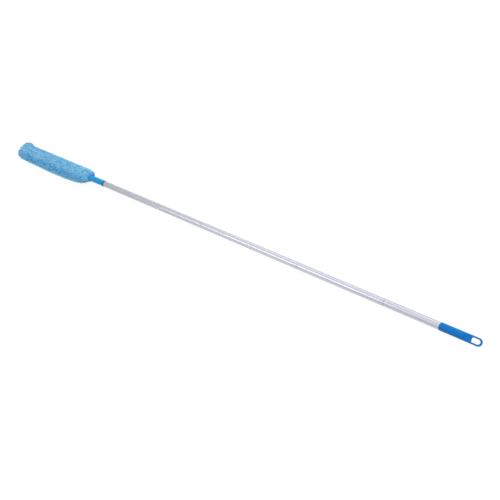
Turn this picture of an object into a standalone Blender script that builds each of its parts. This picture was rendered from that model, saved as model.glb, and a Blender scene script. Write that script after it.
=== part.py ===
# Extendable duster: a plush sleeve on a flat blade, on a pole of five rods screwed end to end.
# Lengths are in metres. +X runs along the pole from the plush tip to the grip, +Z is up.
# The duster lies on a floor at z = 0, and the origin is the middle of its footprint.

import math

import bmesh
import bpy
from mathutils import Matrix

# Driving dimensions: the pole
rod_count = 5
rod_pitch = 0.2965
tube_diameter = 0.020
tube_wall = 0.0006
tube_edge = 0.0004
seat_gap = 0.0003

# Driving dimensions: the threaded joints
flange_thickness = 0.0006
neck_flange_thickness = 0.0024
flange_inset = 0.0004
stud_radius = 0.0068
stud_length = 0.028
stud_chamfer = 0.0012
stud_relief_length = 0.0020
stud_relief_depth = 0.0008
thread_clearance = 0.0004
socket_bore_extra = 0.0040
insert_length = 0.052
insert_core_radius = 0.0042
insert_core_depth = 0.034
insert_chamfer = 0.0010

# Driving dimensions: the punched dimples that hold the inserts
dimple_reach = 0.044
dimple_depth = 0.0006
dimple_radius = 0.0032
dimple_root = 0.0001
dimple_groove_width = 0.0056
socket_dimple_degrees = (152.0, 205.0, 21.0, -19.0)
plug_dimple_degrees = (128.0, 171.0, 223.0, 140.0, 196.0)
grip_dimple_degrees = 180.0

# Driving dimensions: the neck
neck_radius = 0.0103
neck_length = 0.142
neck_lip_radius = 0.0109
neck_lip_length = 0.0050
neck_lip_slope = 0.0010
neck_edge = 0.0006
neck_nose_radius = 0.0092
neck_nose_length = 0.034
neck_nose_round = 0.0020
neck_flat_thickness = 0.0124
neck_flat_length = 0.038
neck_flat_runout = 0.0080

# Driving dimensions: the blade and its rivets
blade_width = 0.0200
blade_thickness = 0.0040
blade_tip_clearance = 0.0060
blade_corner = 0.0040
blade_tip_round_share = 0.98
tang_width = 0.0140
tang_length = 0.0400
tang_clearance = 0.0020
tang_corner = 0.0012
window_count = 11
window_length = 0.0180
window_width = 0.0110
window_corner = 0.0030
window_margin = 0.0120
rivet_radius = 0.0020
rivet_head_radius = 0.0036
rivet_head_height = 0.0009
rivet_edge = 0.0003
rivet_pitch = 0.0180
rivet_setback = 0.0100

# Driving dimensions: the plush sleeve and its elastic
sleeve_length = 0.453
sleeve_mouth_place = 0.077
sleeve_high_side = 0.0270
sleeve_low_side = 0.0394
sleeve_height = 0.0300
sleeve_middle_height = 0.0130
sleeve_flat_depth = 0.0005
hem_wall = 0.0012
mouth_clearance = 0.0006
mouth_slant = 0.0085
mouth_slant_fade = 0.012
gather_count = 8
gather_depth = 0.0010
pocket_width = 0.0460
pocket_height = 0.0090
pocket_tip_wall = 0.0160
pocket_throat_length = 0.072
pocket_flare_length = 0.055
pocket_flare_shares = (0.35, 0.7, 1.0)
pocket_end_length = 0.0135
pocket_end_width_share = 0.7
pocket_end_height_share = 0.8
elastic_thickness = 0.0010
elastic_width = 0.0070
elastic_clearance = 0.0004
elastic_setback = 0.0150

# Driving dimensions: the grip
grip_radius = 0.0108
grip_length = 0.1155
grip_edge = 0.0012
last_rod_show = 0.1685
spigot_length = 0.055
tab_thickness = 0.0055
tab_runout = 0.0170
tab_land = 0.0010
hang_slot_length = 0.0244
hang_slot_width = 0.0126
hang_slot_corner = 0.0025
hang_slot_edge = 0.0010
tab_rim = 0.0047

# One overrun serves every cut, and points closer than the weld distance are one point
cut_overrun = 0.0020
weld_distance = 0.00002

# Places that follow from the sizes above, measured along the pole
head_reach = sleeve_mouth_place + sleeve_length
tail_reach = last_rod_show + grip_length
overall_length = head_reach + (rod_count - 1) * rod_pitch + tail_reach
first_seam = head_reach - overall_length / 2
neck_end = first_seam - seat_gap - neck_length
rivet_places = (neck_end + rivet_setback, neck_end + rivet_setback + rivet_pitch)
tube_radius = tube_diameter / 2
bore_radius = tube_radius - tube_wall
insert_radius = bore_radius - seat_gap
groove_radius = bore_radius - dimple_depth - seat_gap
elastic_inner_radius = neck_radius + elastic_clearance
elastic_outer_radius = elastic_inner_radius + elastic_thickness
elastic_seat_radius = elastic_outer_radius + seat_gap
axis_height = elastic_seat_radius + hem_wall
sleeve_tip = first_seam - head_reach
sleeve_mouth = first_seam - sleeve_mouth_place
elastic_place = sleeve_mouth - elastic_setback

# Stations of the sleeve from mouth to tip, as shares of its length, its two sides, its height
# and its gathers. The high side swells into an ear just before the tip.
sleeve_station_shares = (
    (0.0000, 0.60, 0.320, 0.87, 0.6),
    (0.0070, 0.76, 0.345, 0.89, 0.9),
    (0.0154, 0.87, 0.400, 0.91, 1.2),
    (0.0330, 0.955, 0.510, 0.94, 1.6),
    (0.0515, 1.01, 0.610, 0.96, 1.7),
    (0.0880, 1.055, 0.775, 0.99, 1.2),
    (0.1235, 1.045, 0.853, 1.0, 0.7),
    (0.1610, 1.04, 0.900, 1.0, 0.3),
    (0.1980, 1.01, 0.930, 1.0, 0.0),
    (0.2730, 1.0, 0.975, 1.0, 0.0),
    (0.3850, 1.01, 0.995, 1.0, 0.0),
    (0.5420, 1.0, 1.0, 1.0, 0.0),
    (0.6210, 1.0, 0.970, 1.0, 0.0),
    (0.7440, 0.99, 0.955, 1.0, 0.0),
    (0.8220, 0.97, 0.945, 1.0, 0.0),
    (0.8460, 1.05, 0.935, 1.0, 0.0),
    (0.8660, 1.18, 0.925, 1.0, 0.0),
    (0.8880, 1.29, 0.915, 1.0, 0.0),
    (0.9030, 1.275, 0.910, 1.0, 0.0),
    (0.9210, 1.16, 0.900, 0.99, 0.0),
    (0.9360, 1.0, 0.885, 0.96, 0.0),
    (0.9490, 0.82, 0.865, 0.91, 0.0),
    (0.9626, 0.56, 0.830, 0.83, 0.0),
    (0.9747, 0.30, 0.765, 0.72, 0.0),
    (0.9846, 0.06, 0.680, 0.58, 0.0),
    (0.9934, -0.20, 0.580, 0.40, 0.0),
    (1.0000, -0.42, 0.480, 0.18, 0.0),
)
ear_share = max(station[1] for station in sleeve_station_shares)
belly_share = max(station[2] for station in sleeve_station_shares)

# Sections are round at the mouth and fuller past this share of the length. The tip draws in
# above and below past the other share.
mouth_roundness = 2.0
body_fullness = 2.6
full_section_share = 0.12
tip_start_share = 0.91

# The sleeve is wider on one side of the pole, so the pole lies off the middle of the footprint
pole_side = (belly_share * sleeve_low_side - ear_share * sleeve_high_side) / 2

# Facets round each kind of piece, and steps along each kind of rounded edge
tube_facets = 32
insert_facets = 20
sleeve_facets = 32
rivet_facets = 16
dimple_facets = 12
tail_steps = 8
round_steps = 6
edge_steps = 4
small_round_steps = 3
smooth_angle = math.radians(35)


def collection(name):
    """Makes a collection in the scene."""
    made = bpy.data.collections.new(name)
    bpy.context.scene.collection.children.link(made)
    return made


def finish(name, colour, roughness, metallic):
    """Makes one piece's own Principled material."""
    made = bpy.data.materials.new(name)
    made.use_nodes = True
    shader = made.node_tree.nodes["Principled BSDF"]
    shader.inputs["Base Color"].default_value = (*colour, 1.0)
    shader.inputs["Roughness"].default_value = roughness
    shader.inputs["Metallic"].default_value = metallic
    return made


def piece(name, mesh, group, look=None):
    """Links a mesh into a collection as a named object."""
    made = bpy.data.objects.new(name, mesh)
    group.objects.link(made)
    if look is not None:
        mesh.materials.append(look)
    return made


def as_cutter(made):
    """Marks an object as a cutter, which the finished duster leaves out."""
    made.hide_render = True
    made.display_type = "WIRE"
    return made


def pole_spot(place):
    """Gives the move to a place on the pole's axis."""
    return Matrix.Translation((place, pole_side, axis_height))


def on_pole(made, place):
    """Lays an object's own Z axis along the pole, with its origin at a place on the pole's axis."""
    made.matrix_world = pole_spot(place) @ Matrix.Rotation(math.pi / 2, 4, "Y")
    return made


def profile_mesh(name, points, closed):
    """Makes a profile of (radius, place) points in the XZ plane, as vertices and edges."""
    count = len(points)
    edges = [(index, index + 1) for index in range(count - 1)]
    if closed:
        edges.append((count - 1, 0))
    mesh = bpy.data.meshes.new(name)
    mesh.from_pydata([(radius, 0.0, place) for radius, place in points], edges, [])
    return mesh


def turned(name, points, facets, group, look=None, closed=False):
    """Turns a profile round the Z axis with a Screw modifier."""
    made = piece(name, profile_mesh(name, points, closed), group, look)
    screw = made.modifiers.new("turn", "SCREW")
    screw.axis = "Z"
    screw.steps = facets
    screw.render_steps = facets
    screw.use_merge_vertices = True
    screw.merge_threshold = weld_distance
    screw.use_smooth_shade = True
    return made


def solid_mesh(name, vertices, faces):
    """Makes a closed mesh from vertices and faces, with its faces pointing out."""
    mesh = bpy.data.meshes.new(name)
    mesh.from_pydata(vertices, [], faces)
    edit = bmesh.new()
    edit.from_mesh(mesh)
    bmesh.ops.recalc_face_normals(edit, faces=edit.faces)
    edit.to_mesh(mesh)
    edit.free()
    mesh.shade_smooth()
    mesh.set_sharp_from_angle(angle=smooth_angle)
    return mesh


def loft(name, loops, group, look=None):
    """Skins a row of loops with as many points each, and closes both ends."""
    count = len(loops[0])
    vertices = [point for loop in loops for point in loop]
    faces = []
    for row in range(len(loops) - 1):
        for index in range(count):
            after = (index + 1) % count
            low = row * count
            high = low + count
            faces.append((low + index, low + after, high + after, high + index))
    faces.append(tuple(reversed(range(count))))
    last = (len(loops) - 1) * count
    faces.append(tuple(range(last, last + count)))
    return piece(name, solid_mesh(name, vertices, faces), group, look)


def combine(made, other, operation):
    """Joins, cuts or trims an object with another by an exact Boolean."""
    modifier = made.modifiers.new(operation.lower(), "BOOLEAN")
    modifier.operation = operation
    modifier.solver = "EXACT"
    modifier.object = other


def arc(centre_radius, centre_place, radius, start, end, steps):
    """Gives the points of an arc in a profile, from a start angle to an end angle in degrees."""
    points = []
    for step in range(steps + 1):
        angle = math.radians(start + (end - start) * step / steps)
        across = centre_radius + radius * math.cos(angle)
        points.append((across, centre_place + radius * math.sin(angle)))
    return points


def rounded_corners(corners, steps):
    """Gives an outline's points from (x, y, corner radius) rows that run anticlockwise."""
    points = []
    count = len(corners)
    for index in range(count):
        x, y, radius = corners[index]
        before = corners[index - 1]
        after = corners[(index + 1) % count]
        if radius == 0:
            points.append((x, y))
            continue
        in_length = math.hypot(x - before[0], y - before[1])
        out_length = math.hypot(after[0] - x, after[1] - y)
        in_x, in_y = (x - before[0]) / in_length, (y - before[1]) / in_length
        out_x, out_y = (after[0] - x) / out_length, (after[1] - y) / out_length
        turn = math.atan2(in_x * out_y - in_y * out_x, in_x * out_x + in_y * out_y)
        reach = radius * math.tan(turn / 2)
        centre_x = x - in_x * reach - in_y * radius
        centre_y = y - in_y * reach + in_x * radius
        first = math.atan2(-in_x, in_y)
        for step in range(steps + 1):
            angle = first + turn * step / steps
            points.append((centre_x + radius * math.cos(angle), centre_y + radius * math.sin(angle)))
    return points


def flat_outline(name, outlines, thickness, group, look=None):
    """Makes a flat piece from an outline and its holes, by a filled curve made a mesh."""
    curve = bpy.data.curves.new(name, "CURVE")
    curve.dimensions = "2D"
    curve.fill_mode = "BOTH"
    curve.extrude = thickness / 2
    for outline in outlines:
        spline = curve.splines.new("POLY")
        spline.points.add(len(outline) - 1)
        for point, (x, y) in zip(spline.points, outline):
            point.co = (x, y, 0.0, 1.0)
        spline.use_cyclic_u = True
    guide = bpy.data.objects.new(name + "_curve", curve)
    bpy.context.scene.collection.objects.link(guide)
    bpy.context.view_layer.update()
    graph = bpy.context.evaluated_depsgraph_get()
    mesh = bpy.data.meshes.new_from_object(guide.evaluated_get(graph))
    bpy.data.objects.remove(guide)
    edit = bmesh.new()
    edit.from_mesh(mesh)
    bmesh.ops.remove_doubles(edit, verts=edit.verts, dist=weld_distance)
    bmesh.ops.beautify_fill(edit, faces=edit.faces, edges=edit.edges)
    bmesh.ops.recalc_face_normals(edit, faces=edit.faces)
    edit.to_mesh(mesh)
    edit.free()
    mesh.name = name
    return piece(name, mesh, group, look)


def dent_cutter(name, group):
    """Makes the ball that punches a dimple, with its origin on the tube's axis."""
    mesh = bpy.data.meshes.new(name)
    edit = bmesh.new()
    lift = Matrix.Translation((0.0, 0.0, tube_radius + dimple_radius - dimple_depth))
    bmesh.ops.create_uvsphere(
        edit, u_segments=dimple_facets, v_segments=dimple_facets, radius=dimple_radius, matrix=lift
    )
    edit.to_mesh(mesh)
    edit.free()
    return as_cutter(piece(name, mesh, group))


def bulge_adder(name, group):
    """Makes the swelling that a punched dimple leaves on the bore, as a turned lens."""
    ball = dimple_radius + tube_wall
    centre = tube_radius + dimple_radius - dimple_depth
    root = bore_radius + dimple_root
    widest = math.degrees(math.acos((centre - root) / ball))
    lens = [(0.0, root)] + arc(0.0, centre, ball, -90 + widest, -90, small_round_steps)
    lens[-1] = (0.0, centre - ball)
    return as_cutter(turned(name, lens, dimple_facets, group))


def punch(rod_made, place, degrees, cutters):
    """Punches one dimple into a rod, at a place on the pole and at an angle from its top."""
    label = f"{rod_made.name}_dimple_{len(rod_made.modifiers)}"
    aim = pole_spot(place) @ Matrix.Rotation(math.radians(degrees), 4, "X")
    bulge = bulge_adder(label + "_bulge", cutters)
    bulge.matrix_world = aim
    combine(rod_made, bulge, "UNION")
    dent = dent_cutter(label + "_dent", cutters)
    dent.matrix_world = aim
    combine(rod_made, dent, "DIFFERENCE")


def rod(number, length, start, look, group):
    """Makes one thin tube with eased ends, its origin at its upper end on the pole's axis."""
    outer = [
        (tube_radius - tube_edge, length),
        (tube_radius, length - tube_edge),
        (tube_radius, tube_edge),
        (tube_radius - tube_edge, 0.0),
    ]
    inner = [(bore_radius, 0.0), (bore_radius, length)]
    made = turned(f"rod_{number}", outer + inner, tube_facets, group, look, closed=True)
    return on_pole(made, start)


def groove(place):
    """Gives the ring groove round an insert, which its rod's dimple sinks into."""
    half = dimple_groove_width / 2
    return [
        (insert_radius, place + half),
        (groove_radius, place + half),
        (groove_radius, place - half),
        (insert_radius, place - half),
    ]


def insert_tail(length):
    """Gives the chamfered end of an insert that reaches a length into the rod before it."""
    return [(insert_radius, insert_chamfer - length), (insert_radius - insert_chamfer, -length)]


def thread_plug(number, seam, flange, look, group):
    """Makes a plug whose stud screws into the rod before it and whose shank is fixed in its own."""
    foot = flange + seat_gap
    top = foot + insert_length
    core = [(0.0, top - insert_core_depth), (insert_core_radius, top - insert_core_depth)]
    core.append((insert_core_radius, top))
    shank = [(insert_radius - insert_chamfer, top), (insert_radius, top - insert_chamfer)]
    shank += groove(foot + dimple_reach)
    shank.append((insert_radius, flange))
    flange_radius = tube_radius - flange_inset
    relief = stud_radius - stud_relief_depth
    stud = [
        (flange_radius, flange),
        (flange_radius, 0.0),
        (relief, 0.0),
        (relief, -stud_relief_length),
        (stud_radius, -stud_relief_length - stud_relief_depth),
        (stud_radius, stud_chamfer - stud_length),
        (stud_radius - stud_chamfer, -stud_length),
        (0.0, -stud_length),
    ]
    made = turned(f"thread_plug_{number}", core + shank + stud, insert_facets, group, look)
    return on_pole(made, seam)


def thread_socket(number, seam, look, group):
    """Makes the bush in a rod's upper end that takes the next rod's stud."""
    bore = stud_radius + thread_clearance
    depth = stud_length + socket_bore_extra
    outer = [(bore + insert_chamfer, 0.0), (insert_radius, 0.0)]
    outer += groove(-dimple_reach) + insert_tail(insert_length)
    inner = [(insert_core_radius, -insert_length), (insert_core_radius, -depth), (bore, -depth)]
    inner.append((bore, -insert_chamfer))
    made = turned(f"thread_socket_{number}", outer + inner, insert_facets, group, look, closed=True)
    return on_pole(made, seam - seat_gap)


def cut_flats(made, place, start, end, half_thickness, runout, reach, facing, group):
    """Cuts flats on a round piece's top and underside, each fading out in an arc."""
    rise = reach + cut_overrun - half_thickness
    outline = [(end + cut_overrun, half_thickness), (end + cut_overrun, half_thickness + rise)]
    for step in range(round_steps + 1):
        angle = math.pi / 2 * step / round_steps
        height = half_thickness + rise * (1 - math.sin(angle))
        outline.append((start - runout * math.cos(angle), height))
    sides = (-reach - cut_overrun, reach + cut_overrun)
    for label, side in (("top", 1), ("underside", -1)):
        loops = [[(facing * x, y, side * z) for x, z in outline] for y in sides]
        cutter = as_cutter(loft(f"{made.name}_{label}", loops, group))
        cutter.matrix_world = pole_spot(place)
        combine(made, cutter, "DIFFERENCE")


def drill_rivets(made, thickness, group):
    """Drills the rivets' holes through a piece."""
    radius = rivet_radius + seat_gap
    reach = thickness / 2 + cut_overrun
    points = [(0.0, reach), (radius, reach), (radius, -reach), (0.0, -reach)]
    for number, place in enumerate(rivet_places, start=1):
        hole = as_cutter(turned(f"{made.name}_hole_{number}", points, rivet_facets, group))
        hole.matrix_world = pole_spot(place)
        combine(made, hole, "DIFFERENCE")


def tang_slot(group):
    """Makes the cutter of the slot that the blade's tang goes into."""
    half_width = tang_width / 2 + seat_gap
    half_height = blade_thickness / 2 + seat_gap
    corners = [(half_width, half_height), (-half_width, half_height)]
    corners += [(-half_width, -half_height), (half_width, -half_height)]
    ends = (-cut_overrun, tang_length + tang_clearance)
    cutter = loft("tang_slot", [[(x, y, z) for y, z in corners] for x in ends], group)
    cutter.matrix_world = pole_spot(neck_end)
    return as_cutter(cutter)


def neck(look, group, cutters):
    """Makes the moulded neck: a threaded mouth for the pole and a flat, slotted nose for the blade."""
    bore = stud_radius + thread_clearance
    depth = stud_length + socket_bore_extra
    lip_foot = -neck_lip_length - neck_lip_slope
    nose_start = neck_nose_length - neck_length
    round_centre = neck_nose_radius - neck_nose_round
    points = [(0.0, -depth), (bore, -depth), (bore, -insert_chamfer), (bore + insert_chamfer, 0.0)]
    points += [(neck_lip_radius - neck_edge, 0.0), (neck_lip_radius, -neck_edge)]
    points += [(neck_lip_radius, -neck_lip_length), (neck_radius, lip_foot), (neck_radius, nose_start)]
    points += arc(round_centre, neck_nose_round - neck_length, neck_nose_round, 0, -90, edge_steps)
    points.append((0.0, -neck_length))
    made = turned("head_neck", points, tube_facets, group, look)
    on_pole(made, first_seam - seat_gap)
    half_thickness = neck_flat_thickness / 2
    cut_flats(
        made, neck_end, -neck_flat_length, 0.0, half_thickness, neck_flat_runout, neck_radius, -1, cutters
    )
    combine(made, tang_slot(cutters), "DIFFERENCE")
    drill_rivets(made, neck_flat_thickness, cutters)
    return made


def rivet(number, place, look, group):
    """Makes a rivet with a set head on each flat of the neck."""
    seat = neck_flat_thickness / 2 + seat_gap
    top = seat + rivet_head_height
    half = [(0.0, top), (rivet_head_radius - rivet_head_height, top)]
    half += [(rivet_head_radius, seat + rivet_edge), (rivet_head_radius - rivet_edge, seat)]
    half.append((rivet_radius, seat))
    mirrored = [(radius, -height) for radius, height in reversed(half)]
    made = turned(f"blade_rivet_{number}", half + mirrored, rivet_facets, group, look)
    made.matrix_world = pole_spot(place)
    return made


def blade_outline(tip, shoulder):
    """Gives the blade's outline: round at its tip, and narrower where its tang enters the neck."""
    half = blade_width / 2
    tang = tang_width / 2
    corners = [
        (tip, half, half * blade_tip_round_share),
        (tip, -half, half * blade_tip_round_share),
        (shoulder, -half, blade_corner),
        (shoulder, -tang, 0.0),
        (tang_length, -tang, tang_corner),
        (tang_length, tang, tang_corner),
        (shoulder, tang, 0.0),
        (shoulder, half, blade_corner),
    ]
    return rounded_corners(corners, round_steps)


def window_outline(start):
    """Gives one window of the blade's ladder."""
    side = window_width / 2
    end = start + window_length
    corners = [(start, -side, window_corner), (end, -side, window_corner)]
    corners += [(end, side, window_corner), (start, side, window_corner)]
    return rounded_corners(corners, small_round_steps)


def blade(look, group, cutters):
    """Makes the flat bendable blade: a ladder of windows, with a narrower tang in the neck."""
    tip = sleeve_tip + pocket_tip_wall + blade_tip_clearance - neck_end
    shoulder = -seat_gap
    first = tip + window_margin + blade_width / 2
    last = shoulder - window_margin - window_length
    outlines = [blade_outline(tip, shoulder)]
    for index in range(window_count):
        outlines.append(window_outline(first + (last - first) * index / (window_count - 1)))
    made = flat_outline("head_blade", outlines, blade_thickness, group, look)
    made.matrix_world = pole_spot(neck_end)
    drill_rivets(made, blade_thickness, cutters)
    return made


def power(value, exponent):
    """Raises a value's size to a power and keeps its sign."""
    return math.copysign(abs(value) ** exponent, value)


def sleeve_outer_loop(share, high_share, low_share, height_share, gather_share):
    """Gives one station of the sleeve's outside, flat where it lies on the floor."""
    high = high_share * sleeve_high_side
    low = low_share * sleeve_low_side
    middle = pole_side + (high - low) / 2
    half_width = (high + low) / 2
    ripeness = min(1.0, share / full_section_share)
    bend = 2 / (mouth_roundness + (body_fullness - mouth_roundness) * ripeness)
    up = sleeve_height * height_share - sleeve_middle_height
    down = sleeve_middle_height + sleeve_flat_depth
    if share > tip_start_share:
        up = (sleeve_height - sleeve_middle_height) * height_share
        down *= height_share
    place = sleeve_mouth - share * sleeve_length
    fade = max(0.0, 1.0 - share * sleeve_length / mouth_slant_fade)
    loop = []
    for index in range(sleeve_facets):
        angle = 2 * math.pi * index / sleeve_facets
        across = power(math.cos(angle), bend)
        rise = power(math.sin(angle), bend)
        fold = gather_depth * gather_share * (math.cos(gather_count * angle) - 1) * min(1.0, 1 + rise)
        tall = up if rise > 0 else down
        y = middle + (half_width + fold) * across
        z = max(0.0, sleeve_middle_height + (tall + fold) * rise)
        slant = mouth_slant * fade * (z - axis_height) / axis_height
        loop.append((place - slant, y, z))
    return loop


def sleeve_inner_loop(place, half_width, half_height, side_shift, slanted):
    """Gives one station of the sleeve's pocket."""
    loop = []
    for index in range(sleeve_facets):
        angle = 2 * math.pi * index / sleeve_facets
        y = pole_side - side_shift + half_width * math.cos(angle)
        z = axis_height + half_height * math.sin(angle)
        slant = mouth_slant * slanted * (z - axis_height) / axis_height
        loop.append((place - slant, y, z))
    return loop


def pocket_loops():
    """Gives the sleeve's pocket from its mouth to its blind end, with the elastic's seat."""
    mouth = neck_radius + mouth_clearance
    throat = elastic_inner_radius + mouth_clearance
    seat_start = elastic_place + seat_gap
    seat_end = elastic_place - elastic_width - seat_gap
    throat_end = sleeve_mouth - pocket_throat_length
    flat_start = throat_end - pocket_flare_length
    flat_end = sleeve_tip + pocket_tip_wall
    half_width = pocket_width / 2
    half_height = pocket_height / 2
    shift = (sleeve_low_side - sleeve_high_side) / 2
    loops = [sleeve_inner_loop(sleeve_mouth, mouth, mouth, 0.0, 1.0)]
    loops.append(sleeve_inner_loop(seat_start, mouth, mouth, 0.0, 0.0))
    loops.append(sleeve_inner_loop(seat_start, elastic_seat_radius, elastic_seat_radius, 0.0, 0.0))
    loops.append(sleeve_inner_loop(seat_end, elastic_seat_radius, elastic_seat_radius, 0.0, 0.0))
    loops.append(sleeve_inner_loop(seat_end, throat, throat, 0.0, 0.0))
    loops.append(sleeve_inner_loop(throat_end, throat, throat, 0.0, 0.0))
    for share in pocket_flare_shares:
        place = throat_end - share * pocket_flare_length
        wide = throat + (half_width - throat) * share
        tall = throat + (half_height - throat) * share
        loops.append(sleeve_inner_loop(place, wide, tall, shift * share, 0.0))
    for place in ((flat_start + flat_end) / 2, flat_end + pocket_end_length):
        loops.append(sleeve_inner_loop(place, half_width, half_height, shift, 0.0))
    end_width = half_width * pocket_end_width_share
    end_height = half_height * pocket_end_height_share
    loops.append(sleeve_inner_loop(flat_end, end_width, end_height, shift, 0.0))
    return loops


def sleeve(look, group):
    """Makes the plush sleeve: gathered at its mouth, flat beneath, with a pocket for the blade."""
    loops = [sleeve_outer_loop(*station) for station in reversed(sleeve_station_shares)]
    loops += pocket_loops()
    own = [[(x - sleeve_mouth, y, z) for x, y, z in loop] for loop in loops]
    made = loft("plush_sleeve", own, group, look)
    made.matrix_world = Matrix.Translation((sleeve_mouth, 0.0, 0.0))
    return made


def elastic(look, group):
    """Makes the flat elastic ring that draws the sleeve's mouth in round the neck."""
    outer = [(elastic_outer_radius, 0.0), (elastic_outer_radius, -elastic_width)]
    inner = [(elastic_inner_radius, -elastic_width), (elastic_inner_radius, 0.0)]
    made = turned("mouth_elastic", outer + inner, tube_facets, group, look, closed=True)
    return on_pole(made, elastic_place)


def slot_outline(grow):
    """Gives the hang slot's outline, square towards the rod and round towards the end."""
    half = hang_slot_width / 2 + grow
    centre = grip_length - tab_rim - hang_slot_width / 2
    start = grip_length - tab_rim - hang_slot_length - grow
    corner = hang_slot_corner + grow
    points = arc(start + corner, corner - half, corner, 180, 270, edge_steps)
    points += arc(centre, 0.0, half, -90, 90, 2 * round_steps)
    points += arc(start + corner, half - corner, corner, 90, 180, edge_steps)
    return points


def slot_cutter(group):
    """Makes the hang slot's cutter, whose mouth rounds outward through each face of the tab."""
    half = tab_thickness / 2
    levels = []
    for step in range(small_round_steps + 1):
        angle = math.pi / 2 * step / small_round_steps
        grow = hang_slot_edge * (1 - math.sin(angle))
        levels.append((half - hang_slot_edge * (1 - math.cos(angle)), grow))
    rows = [(-half - cut_overrun, hang_slot_edge)]
    rows += [(-height, grow) for height, grow in levels]
    rows += [(height, grow) for height, grow in reversed(levels)]
    rows.append((half + cut_overrun, hang_slot_edge))
    loops = [[(x, y, height) for x, y in slot_outline(grow)] for height, grow in rows]
    return as_cutter(loft("hang_slot", loops, group))


def grip(look, group, cutters):
    """Makes the moulded grip: a spigot in the last rod, a round body and a flat tab to hang by."""
    tail = arc(0.0, grip_length - grip_radius, grip_radius, 90, 0, tail_steps)
    tail[0] = (0.0, grip_length)
    shoulder = arc(grip_radius - grip_edge, grip_edge, grip_edge, 0, -90, edge_steps)
    spigot = [(insert_radius, 0.0)] + groove(-dimple_reach) + insert_tail(spigot_length)
    spigot.append((0.0, -spigot_length))
    made = turned("grip", tail + shoulder + spigot, tube_facets, group, look)
    place = first_seam + (rod_count - 1) * rod_pitch + last_rod_show
    on_pole(made, place)
    tab_start = grip_length - tab_rim - hang_slot_length - tab_land
    cut_flats(
        made, place, tab_start, grip_length, tab_thickness / 2, tab_runout, grip_radius, 1, cutters
    )
    slot = slot_cutter(cutters)
    slot.matrix_world = pole_spot(place)
    combine(made, slot, "DIFFERENCE")
    return made


def pole(steel, nylon, group, cutters):
    """Makes the rods with their plugs and sockets, and punches each insert's dimple."""
    for index in range(rod_count):
        number = index + 1
        seam = first_seam + index * rod_pitch
        flange = flange_thickness if index else neck_flange_thickness
        start = seam + flange + seat_gap
        last = number == rod_count
        end = seam + (last_rod_show if last else rod_pitch) - seat_gap
        made = rod(number, end - start, start, steel, group)
        thread_plug(number, seam, flange, nylon, group)
        degrees = plug_dimple_degrees[index % len(plug_dimple_degrees)]
        punch(made, start + dimple_reach, degrees, cutters)
        if last:
            punch(made, end + seat_gap - dimple_reach, grip_dimple_degrees, cutters)
        else:
            thread_socket(number, seam + rod_pitch, nylon, group)
            degrees = socket_dimple_degrees[index % len(socket_dimple_degrees)]
            punch(made, end - dimple_reach, degrees, cutters)


def build():
    """Makes the whole duster."""
    for old in list(bpy.data.objects):
        bpy.data.objects.remove(old)
    parts = collection("extendable_duster")
    cutters = collection("cutters")
    azure = finish("azure_plastic", (0.02, 0.27, 0.72), 0.35, 0.0)
    plush = finish("sky_plush", (0.22, 0.50, 0.76), 0.95, 0.0)
    white = finish("white_polypropylene", (0.80, 0.82, 0.84), 0.45, 0.0)
    bright = finish("rivet_aluminium", (0.72, 0.72, 0.73), 0.3, 0.9)
    band = finish("elastic_band", (0.55, 0.70, 0.82), 0.8, 0.0)
    steel = finish("satin_steel", (0.70, 0.71, 0.75), 0.32, 0.9)
    nylon = finish("black_nylon", (0.03, 0.03, 0.035), 0.5, 0.0)
    blue = finish("grip_plastic", (0.01, 0.17, 0.58), 0.5, 0.0)
    sleeve(plush, parts)
    elastic(band, parts)
    blade(white, parts, cutters)
    neck(azure, parts, cutters)
    for number, place in enumerate(rivet_places, start=1):
        rivet(number, place, bright, parts)
    pole(steel, nylon, parts, cutters)
    grip(blue, parts, cutters)
    bpy.context.view_layer.update()


build()
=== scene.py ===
import math

import bpy
import numpy as np
from mathutils import Matrix, Vector, kdtree


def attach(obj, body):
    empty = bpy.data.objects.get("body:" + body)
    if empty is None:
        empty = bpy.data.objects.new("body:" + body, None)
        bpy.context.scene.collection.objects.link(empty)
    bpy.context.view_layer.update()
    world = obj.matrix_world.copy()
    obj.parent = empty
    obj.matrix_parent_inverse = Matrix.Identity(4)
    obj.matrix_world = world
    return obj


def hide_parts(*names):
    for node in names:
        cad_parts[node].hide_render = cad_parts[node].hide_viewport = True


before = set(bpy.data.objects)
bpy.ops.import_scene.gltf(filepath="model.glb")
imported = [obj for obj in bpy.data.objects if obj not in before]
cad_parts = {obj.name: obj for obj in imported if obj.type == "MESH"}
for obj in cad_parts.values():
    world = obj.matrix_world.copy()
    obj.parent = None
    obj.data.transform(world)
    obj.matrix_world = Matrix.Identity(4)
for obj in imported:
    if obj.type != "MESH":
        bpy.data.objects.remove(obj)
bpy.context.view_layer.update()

# The view. The camera stands above the grip's end and looks down the pole's length with a
# 60 mm lens. It is rolled, so that the duster crosses the picture from upper left to lower right.
pole_side = 0.002285
view_lens = 59.8
view_sensor = 36.0
view_end = 60.0
view_place = (1.7554, pole_side, 1.9491)
view_turns = ((38.10, "Y"), (-0.29, "X"), (22.99, "Z"))

scene = bpy.context.scene
camera_data = bpy.data.cameras.new("camera")
camera_data.lens = view_lens
camera_data.sensor_width = view_sensor
camera_data.clip_end = view_end
camera = bpy.data.objects.new("camera", camera_data)
scene.collection.objects.link(camera)
camera.matrix_world = Matrix.Translation(view_place)
for degrees, axis in view_turns:
    camera.matrix_world = camera.matrix_world @ Matrix.Rotation(math.radians(degrees), 4, axis)
scene.camera = camera
scene.view_settings.view_transform = "Standard"


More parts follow.
